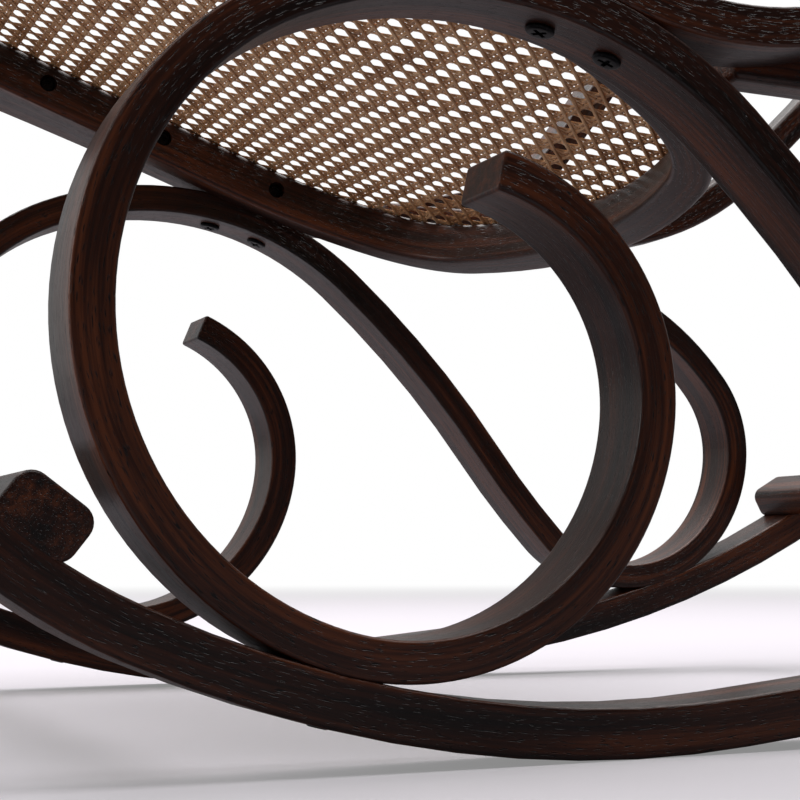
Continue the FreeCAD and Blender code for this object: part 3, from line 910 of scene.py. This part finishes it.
def under_runner(station):
    """The runner's underside at a distance along it, as a mark."""
    mark = heading_at(RUNNER_START, RUNNER_HEADING, RUNNER_ARCS, station)
    return (*beside(mark, -RUNNER_THICK / 2), mark[2])


def under_tail(back):
    """The arm loop's underside at a distance before its end, as a mark."""
    length = sum(length for length, _ in ARM_ARCS)
    mark = heading_at(ARM_START, ARM_HEADING, ARM_ARCS, length - back)
    return (*beside(mark, -ARM_THICK / 2), mark[2])


foot_marks = [under_runner(station) for station in FOOT_STATIONS]
bar_marks = [under_runner(station) for station in (FRONT_BAR_AT, REAR_BAR_AT)]
tail_marks = [under_tail(back) for back in BRANCH_SCREWS]
place_screws("seat_side_screws", SMALL_HEAD, side_spots(seat_screw_spots()))
place_screws("stile_screws", SMALL_HEAD, side_spots(STILE_SCREWS))
place_screws("scroll_screws", BIG_HEAD, plane_spots(SCROLL_SCREWS, SCROLL_SCREW_SINK))
place_screws("scroll_foot_screws", SMALL_HEAD, plane_spots(foot_marks, RUNNER_SCREW_SINK))
place_screws("crossbar_screws", SMALL_HEAD, plane_spots(bar_marks, RUNNER_SCREW_SINK))
place_screws("branch_screws", SMALL_HEAD, plane_spots(tail_marks, BRANCH_SCREW_SINK))


# Floor, light and camera

def studio_floor():
    """Pale floor: it keeps the chair's shadow, fades to white away from it and sends little light up."""
    deselect()
    bpy.ops.mesh.primitive_plane_add(size=60)
    floor = bpy.context.object
    floor.name = "floor"
    m = new_material("matt_studio_floor")
    place = add(m, "ShaderNodeTexCoord")
    centre = add(m, "ShaderNodeMapping", {"Vector": (place, "Object"), "Location": (0.25, 0.1, 0.0),
                                          "Scale": (1.0, 0.8, 1.0)})
    far = add(m, "ShaderNodeVectorMath", {0: (centre, "Vector")}, operation="LENGTH")
    fade = add(m, "ShaderNodeMapRange", {"Value": (far, "Value"), "From Min": 1.2, "From Max": 4.0,
                                         "To Min": 0.25, "To Max": 1.0},
               interpolation_type="SMOOTHSTEP")
    paint = add(m, "ShaderNodeBsdfDiffuse", {"Color": linear("#d4cdd5")})
    bounce = add(m, "ShaderNodeBsdfDiffuse", {"Color": linear("#8c888c")})
    white = add(m, "ShaderNodeEmission", {"Color": (1, 1, 1, 1), "Strength": 1.0})
    path = add(m, "ShaderNodeLightPath")
    shown = add(m, "ShaderNodeMath", {0: (path, "Is Camera Ray"), 1: (fade, 0)}, operation="MULTIPLY")
    base = add(m, "ShaderNodeMixShader", {0: (path, "Is Camera Ray"), 1: (bounce, 0), 2: (paint, 0)})
    mix = add(m, "ShaderNodeMixShader", {0: (shown, 0), 1: (base, 0), 2: (white, 0)})
    add(m, "ShaderNodeOutputMaterial", {"Surface": (mix, 0)})
    floor.data.materials.append(m)


def studio_world():
    """White behind the chair, softer and darker light from the camera's side."""
    world = bpy.data.worlds.new("studio")
    bpy.context.scene.world = world
    world.use_nodes = True
    world.node_tree.nodes.clear()
    way = add(world, "ShaderNodeTexCoord")
    split = add(world, "ShaderNodeSeparateXYZ", {"Vector": (way, "Generated")})
    lit = add(world, "ShaderNodeMapRange", {"Value": (split, "X"), "From Min": 0.6, "From Max": -0.6,
                                            "To Min": 0.04, "To Max": 0.42})
    soft = add(world, "ShaderNodeBackground", {"Color": (1, 1, 1, 1), "Strength": (lit, 0)})
    white = add(world, "ShaderNodeBackground", {"Color": (1, 1, 1, 1), "Strength": 1.0})
    path = add(world, "ShaderNodeLightPath")
    mix = add(world, "ShaderNodeMixShader", {0: (path, "Is Camera Ray"), 1: (soft, 0), 2: (white, 0)})
    add(world, "ShaderNodeOutputWorld", {"Surface": (mix, 0)})


def softbox(name, place, aim, size, power):
    """A square lamp that faces a point."""
    deselect()
    bpy.ops.object.light_add(type="AREA", location=place)
    lamp = bpy.context.object
    lamp.name = name
    lamp.data.shape = "SQUARE"
    lamp.data.size = size
    lamp.data.energy = power
    lamp.rotation_euler = (Vector(aim) - Vector(place)).to_track_quat("-Z", "Y").to_euler()


CAMERA_PLACE = at_mm(817.4, -339.9, 77.9)
CAMERA_AHEAD = Vector((-0.8907, 0.4522, 0.0461))
FOCAL_PIXELS = 1725.8
IMAGE_SIZE = 800
AXIS_PIXEL = (528.7, 478.5)


def camera():
    """The photograph's view: its place, direction and focal length, with the frame shifted off its axis."""
    bpy.ops.object.camera_add(location=CAMERA_PLACE)
    cam = bpy.context.object
    ahead = CAMERA_AHEAD.normalized()
    right = ahead.cross(Vector((0, 0, 1))).normalized()
    up = right.cross(ahead)
    cam.matrix_world = Matrix.Translation(CAMERA_PLACE) @ Matrix((right, up, -ahead)).transposed().to_4x4()
    cam.data.sensor_width = 36.0
    cam.data.lens = FOCAL_PIXELS / IMAGE_SIZE * cam.data.sensor_width
    cam.data.shift_x = (IMAGE_SIZE / 2 - AXIS_PIXEL[0]) / IMAGE_SIZE
    cam.data.shift_y = (AXIS_PIXEL[1] - IMAGE_SIZE / 2) / IMAGE_SIZE
    cam.data.clip_start = 0.02
    bpy.context.scene.camera = cam


studio_floor()
studio_world()
softbox("overhead_softbox", (-0.5, 0.1, 2.4), (0, 0, 0.2), 3.6, 130)
softbox("front_softbox", (-0.4, -2.4, 1.0), (0, 0, 0.3), 1.4, 14)
camera()
bpy.context.scene.view_settings.view_transform = "Standard"
